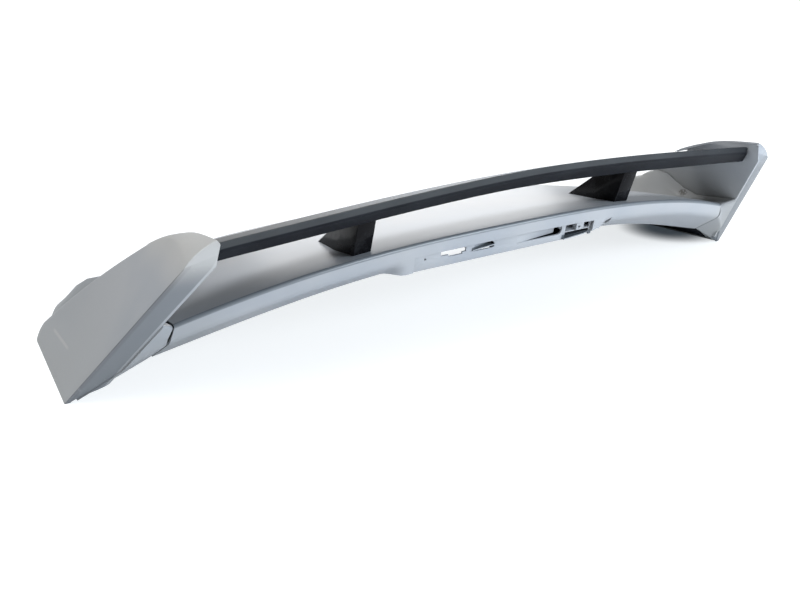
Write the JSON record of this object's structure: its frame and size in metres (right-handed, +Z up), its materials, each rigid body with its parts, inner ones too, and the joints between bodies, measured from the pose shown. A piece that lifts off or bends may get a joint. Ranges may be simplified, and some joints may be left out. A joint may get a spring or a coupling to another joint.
{
  "type": "roof spoiler",
  "caption": "Roof spoiler for a hatchback: arched deck with a brake lamp recess, a raised wing on two pillars and leaning end plates.",
  "frame": {"origin": "on the floor, midway across the part and midway between its rearmost and foremost points", "axes": "+X across the car to the right hand side, +Y to the front of the car, +Z up; the picture is taken from behind and to the left"},
  "size_m": [1.24, 0.4512, 0.26],
  "materials": {
    "primer": "satin grey primer over ABS",
    "grained_black": "finely grained black plastic",
    "pillar_black": "polished black plastic with finger marks",
    "seal_rubber": "closed cell rubber",
    "brass": "turned brass",
    "zinc_steel": "zinc plated steel"
  },
  "bodies": {
    "root": {"deck_top_skin": "primer", "deck_under_tray": "grained_black", "lamp_panel": "primer", "left_seam_gasket": "seal_rubber", "right_seam_gasket": "seal_rubber", "left_plate_outer_skin": "primer", "right_plate_outer_skin": "primer", "left_plate_inner_skin": "primer", "right_plate_inner_skin": "primer", "left_foot": "primer", "right_foot": "primer", "left_foot_tray": "grained_black", "right_foot_tray": "grained_black", "wing_top_skin": "primer", "wing_under_skin": "grained_black", "left_pillar": "pillar_black", "right_pillar": "pillar_black", "tailgate_inserts": "brass", "tailgate_seals": "seal_rubber", "joint_bolts": "zinc_steel", "joint_nuts": "zinc_steel", "pillar_foot_screws": "zinc_steel", "pillar_head_screws": "zinc_steel", "wing_end_blocks": "grained_black", "wing_end_screws": "zinc_steel"}
  },
  "joints": []
}
